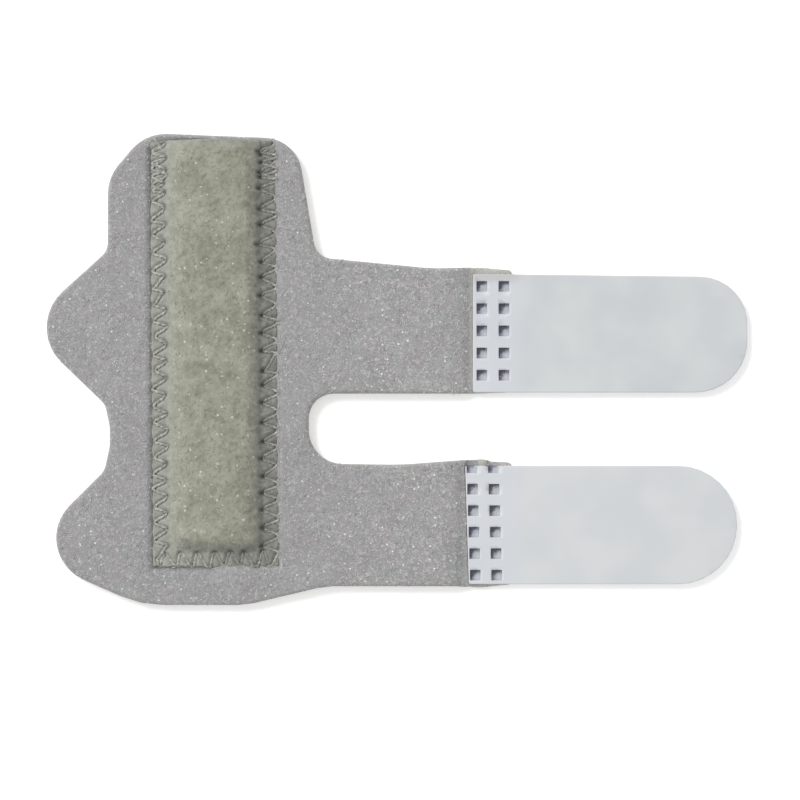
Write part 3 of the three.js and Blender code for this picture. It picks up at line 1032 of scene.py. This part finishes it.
def plies(path, offset, pitch):
    # two strands wound round a path
    along = np.concatenate(([0], np.cumsum(np.linalg.norm(np.diff(path, axis=0), axis=1))))
    heading = np.gradient(path, axis=0)
    heading /= np.linalg.norm(heading, axis=1)[:, None]
    across = np.cross(heading, (0, 0, 1))
    across /= np.linalg.norm(across, axis=1)[:, None] + 1e-9
    upward = np.cross(across, heading)
    turn = 2 * math.pi * along / pitch
    wound = []
    for start in (0, math.pi):
        swing = np.cos(turn + start)[:, None] * across + np.sin(turn + start)[:, None] * upward
        wound.append(path + offset * swing)
    return wound


def makeThread():
    trees = [treeOf(pocketCloth), treeOf(foamWrap)]
    knots = []
    for i, (u, v) in enumerate(course):
        x, y = toFrame(u, v)
        sunk = max(smooth(*pocket["lee"], u), 1 - smooth(*pocket["lowerEnd"], v)) * seam["sunk"]
        lift = -seam["dive"] if i % seam["parts"] == 0 else seam["lift"]
        knots.append((x, y, drop(x, y, trees) + lift - sunk))
    strands = plies(rounded(knots, seam["twist"] / seam["turnSteps"]), seam["plyOffset"], seam["twist"])
    inward, down = seam["tailFrom"]
    endX, endY = toFrame(inward - pocket["width"] / 2, pocket["length"] - down)
    tail = []
    for alongX, alongY, lift in seam["tail"]:
        x, y = endX + alongX * mm, endY + alongY * mm
        tail.append((x, y, drop(x, y, trees) + lift * mm))
    strands += plies(rounded(tail, seam["tailStep"]), seam["tailPly"], seam["twist"])
    return settle(tubes("seam_thread", strands, seam["strand"], 1, 1), threadFinish)


def makeLowerThread():
    inHole, between = seam["lowerHeights"]
    knots = [(*toFrame(*holes[0]), inHole)]
    for last, place in zip(holes[:-1], holes[1:]):
        knots.append((*toFrame(*((last + place) / 2)), between))
        knots.append((*toFrame(*place), inHole))
    strands = plies(rounded(knots, seam["twist"] / seam["lowerTurnSteps"]), seam["lowerPly"], seam["twist"])
    piece = tubes("lower_thread", strands, seam["lowerStrand"], 0, 1)
    return settle(piece, threadFinish)


makeThread()
makeLowerThread()

# fibres: one shape is modelled, then scattered over a piece
nap = {
    "count": 7300,
    "length": 0.95 * mm,
    "thick": 0.08 * mm,
    "rise": 0.08 * mm,
    "bow": 0.20 * mm,
    "flat": 0.8,  # how far upward a face looks that carries fibres
}
pile = {
    "count": 7300,
    "length": 0.9 * mm,
    "thick": 0.055 * mm,
    "rise": 0.045 * mm,
    "bow": 0.26 * mm,
    "flat": 0.3,
}
strandShape = {
    "bends": (-0.22, 0.05, 0.3),  # shares of its length, from its middle
    "curl": 0.5,
    "tip": 0.55,  # how thick its ends are beside its middle
    "dip": 0.05 * mm,  # how far its ends go into the cloth
    "tilt": 0.25,
    "sizes": (0.6, 1.25),
}


def makeFibre(name, kind):
    # a three-sided strand, both of whose ends go into the cloth
    size = {"radius": kind["thick"] / 2, "depth": kind["length"]}
    bpy.ops.object.select_all(action="DESELECT")
    bpy.ops.mesh.primitive_cylinder_add(vertices=3, end_fill_type="NGON", **size)
    piece = bpy.context.object
    piece.name = name
    bpy.ops.object.mode_set(mode="EDIT")
    for part in strandShape["bends"]:
        bpy.ops.mesh.select_all(action="SELECT")
        bpy.ops.mesh.bisect(plane_co=(0, 0, part * kind["length"]), plane_no=(0, 0, 1))
    bpy.ops.object.mode_set(mode="OBJECT")
    points = readPoints(piece)
    along = points[:, 2] / kind["length"]
    arch = 1 - (2 * along) ** 2
    lean = kind["bow"] * arch * (1 + strandShape["curl"] * along)
    taper = strandShape["tip"] + (1 - strandShape["tip"]) * arch
    height = points[:, 0] * taper + kind["rise"] * arch - strandShape["dip"]
    # a quarter turn about Y lays it down, so its faces stay outward
    writePoints(piece, np.column_stack((-points[:, 2], points[:, 1] * taper + lean, height)))
    return piece


def scatter(name, host, kind, densityName, material, seed):
    # strands over the host's upper faces, as close together as its density says
    strand = makeFibre(name + "_strand", kind)
    piece = copyOf(host, name)
    density = np.zeros(len(piece.data.vertices), dtype=np.float32)
    piece.data.attributes[densityName].data.foreach_get("value", density)
    area = sum(
        polygon.area * float(density[list(polygon.vertices)].mean())
        for polygon in piece.data.polygons
        if polygon.normal.z > 0
    )
    group = bpy.data.node_groups.new(name, "GeometryNodeTree")
    for way in ("INPUT", "OUTPUT"):
        group.interface.new_socket("Geometry", in_out=way, socket_type="NodeSocketGeometry")

    def node(kindOfNode, settings, sockets, output=0):
        made = addNode(group, kindOfNode, settings, sockets)
        return made.outputs[output] if made.outputs else None

    tilt, (smallest, largest) = strandShape["tilt"], strandShape["sizes"]
    start = node("NodeGroupInput", {}, {})
    height = node("ShaderNodeSeparateXYZ", {}, {0: node("GeometryNodeInputNormal", {}, {})}, 2)
    upward = node("FunctionNodeCompare", {"operation": "GREATER_THAN"}, {0: height, 1: kind["flat"]})
    thickness = node("GeometryNodeInputNamedAttribute", {"data_type": "FLOAT"}, {"Name": densityName})
    amount = node("ShaderNodeMath", {"operation": "MULTIPLY"}, {0: thickness, 1: kind["count"] / area})
    spread = {"Mesh": start, "Selection": upward, "Density": amount, "Seed": seed}
    points = node("GeometryNodeDistributePointsOnFaces", {}, spread)
    sizes = node("FunctionNodeRandomValue", {"data_type": "FLOAT"}, {2: smallest, 3: largest}, 1)
    shape = node("GeometryNodeObjectInfo", {}, {"Object": strand}, "Geometry")
    stood = {"Points": points, "Instance": shape, "Rotation": points.node.outputs["Rotation"], "Scale": sizes}
    placed = node("GeometryNodeInstanceOnPoints", {}, stood)
    turns = {0: (-tilt, -tilt, 0), 1: (tilt, tilt, 2 * math.pi)}
    angles = node("FunctionNodeRandomValue", {"data_type": "FLOAT_VECTOR"}, turns)
    turned = node("GeometryNodeRotateInstances", {}, {"Instances": placed, "Rotation": angles})
    node("NodeGroupOutput", {}, {0: node("GeometryNodeRealizeInstances", {}, {0: turned})})
    applyModifier(piece, "NODES", node_group=group)
    bpy.data.objects.remove(strand)
    host.data.attributes.remove(host.data.attributes[densityName])
    for label in (densityName, "crushed", "seamShade"):
        if label in piece.data.attributes:
            piece.data.attributes.remove(piece.data.attributes[label])
    return settle(piece, material)


scatter("wrap_nap", foamWrap, nap, "napDensity", napFibre, 7)
pocketPile = scatter("pocket_pile", pocketCloth, pile, "pileDensity", pileFibre, 11)

# the hook tabs
tab = {
    "top": 1.5 * mm,
    "slabTop": 0.1 * mm,  # below this is the slab that stands for the hooks
    "cell": 1.2 * mm,
    "wave": (14 * mm, 0.22 * mm),
    "waveFrom": (21 * mm, 27 * mm),
    "pitFloor": 0.75 * mm,
    "pitSize": 1.8 * mm,
    "slack": 0.02 * mm,
    "rim": 0.03 * mm,
    "smoothAngle": math.radians(40),
    "hook": ((0, 1.04), (0.04, 0.7), (0.12, 0.36), (0.32, 0.14), (0.52, 0.2), (0.56, 0.4)),  # in mm
    "hookInset": (0.2 * mm, 0.3 * mm),
    "hookStep": 1.25 * mm,
    "hookRow": 1.15 * mm,
    "hookReach": 0.5 * mm,
    "hookThick": 0.14 * mm,
}


def findPits(piece):
    # the middles of the pits' floors
    points = readPoints(piece)
    floors = points[np.abs(points[:, 2] - tab["pitFloor"]) < tab["slack"], :2]
    middles = []
    while len(floors):
        near = np.abs(floors - floors[0]).max(1) < tab["pitSize"] + tab["slack"]
        middles.append((floors[near].min(0) + floors[near].max(0)) / 2)
        floors = floors[~near]
    print(piece.name, "has", len(middles), "pits")
    return middles


def markPits(piece, middles):
    # what is in a pit, and how near each point is to its upper left corner, where the painted shadow is
    # darkest
    points = readPoints(piece)
    corner, inPit = np.zeros(len(points)), np.zeros(len(points))
    deep = points[:, 2] < tab["top"] - tab["slack"]
    deep &= points[:, 2] > tab["pitFloor"] - tab["slack"]
    for middle in middles:
        away = points[:, :2] - middle
        inside = np.abs(away).max(1) < tab["pitSize"] / 2 + tab["rim"]
        corner[inside] = 0.5 + (away[inside, 1] - away[inside, 0]) / (2 * tab["pitSize"])
        inPit[inside & deep] = 1
    share(piece, "pit", inPit)
    share(piece, "pitCorner", corner)


def makeTab(node, name):
    # the tape without its slab of hooks, its underside closed, cut into cells that can wave
    low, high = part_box(node)
    piece = copyOfNode(node, name)
    choosePoints(piece, readPoints(piece)[:, 2] < tab["slabTop"])
    bpy.ops.mesh.delete(type="VERT")
    bpy.ops.mesh.select_all(action="DESELECT")
    bpy.ops.mesh.select_non_manifold()
    bpy.ops.mesh.fill()
    bpy.ops.object.mode_set(mode="OBJECT")
    pits = findPits(piece)
    pick(piece)
    bpy.ops.object.mode_set(mode="EDIT")
    for normal, start, end in (((1, 0, 0), low.x, high.x), ((0, 1, 0), low.y, high.y)):
        for place in np.arange(start + tab["cell"] / 2, end, tab["cell"]):
            bpy.ops.mesh.select_all(action="SELECT")
            bpy.ops.mesh.bisect(plane_co=[place * part for part in normal], plane_no=normal)
    bpy.ops.object.mode_set(mode="OBJECT")
    weigh(piece, "free", smooth(*tab["waveFrom"], readPoints(piece)[:, 0]))
    ripple(piece, "free", "tapeWave", *tab["wave"], detail=0)
    piece.vertex_groups.clear()
    markPits(piece, pits)
    return settle(piece, tapeFinish, tab["smoothAngle"])


upperTab = makeTab("upper_hook_tab", "upper_tab")
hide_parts("upper_hook_tab")
lowerTab = makeTab("lower_hook_tab", "lower_tab")
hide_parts("lower_hook_tab")


def makeHooks(node, name):
    # one moulded hook, then rows of it over the tape's underside, kept where the tape is
    low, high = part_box(node)
    path = [(x * mm, 0, z * mm) for x, z in tab["hook"]]
    piece = tubes(name, [path], tab["hookThick"], 0, 1)
    size = len(piece.data.vertices)
    insetX, insetY = tab["hookInset"]
    writePoints(piece, readPoints(piece) + (low.x + insetX, low.y + insetY, 0))
    for step, span, axis in ((tab["hookStep"], high.x - low.x, 0), (tab["hookRow"], high.y - low.y, 1)):
        away = [step if i == axis else 0 for i in range(3)]
        settings = {"use_relative_offset": False, "use_constant_offset": True}
        settings.update({"constant_offset_displace": away, "count": int(span / step) + 1})
        applyModifier(piece, "ARRAY", **settings)
    middles = readPoints(piece).reshape(-1, size, 3).mean(1)
    slab = treeOf(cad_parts[node])
    outOfTape = []
    for x, y, z in middles:
        found = []
        for alongX, alongY in ((-1, 0), (1, 0), (0, -1), (0, 1)):
            start = Vector((x + alongX * tab["hookReach"], y + alongY * tab["hookReach"], -1 * mm))
            hit = slab.ray_cast(start, Vector((0, 0, 1)))[0]
            found.append(hit is not None and hit.z < tab["slabTop"])
        outOfTape.append(not all(found))
    choosePoints(piece, np.repeat(outOfTape, size))
    bpy.ops.mesh.delete(type="VERT")
    bpy.ops.object.mode_set(mode="OBJECT")
    return settle(piece, tapeFinish, tab["smoothAngle"])


makeHooks("upper_hook_tab", "upper_hooks")
makeHooks("lower_hook_tab", "lower_hooks")

# floor
bpy.ops.object.select_all(action="DESELECT")
bpy.ops.mesh.primitive_plane_add(size=studio["floorSize"], location=(0, 0, -studio["floorDrop"]))
floor = bpy.context.object
floor.name = "floor"
paleFloor = Finish("paleFloor")
floorShader = {"Base Color": (studio["floor"],) * 3 + (1,), "Roughness": studio["floorRoughness"]}
floorShader.update({"Emission Strength": studio["glow"], "Emission Color": white})
paleFloor.node("OutputMaterial", {}, {"Surface": paleFloor.node("BsdfPrincipled", {}, floorShader)})
floor.data.materials.append(paleFloor.material)
print("the floor is laid")
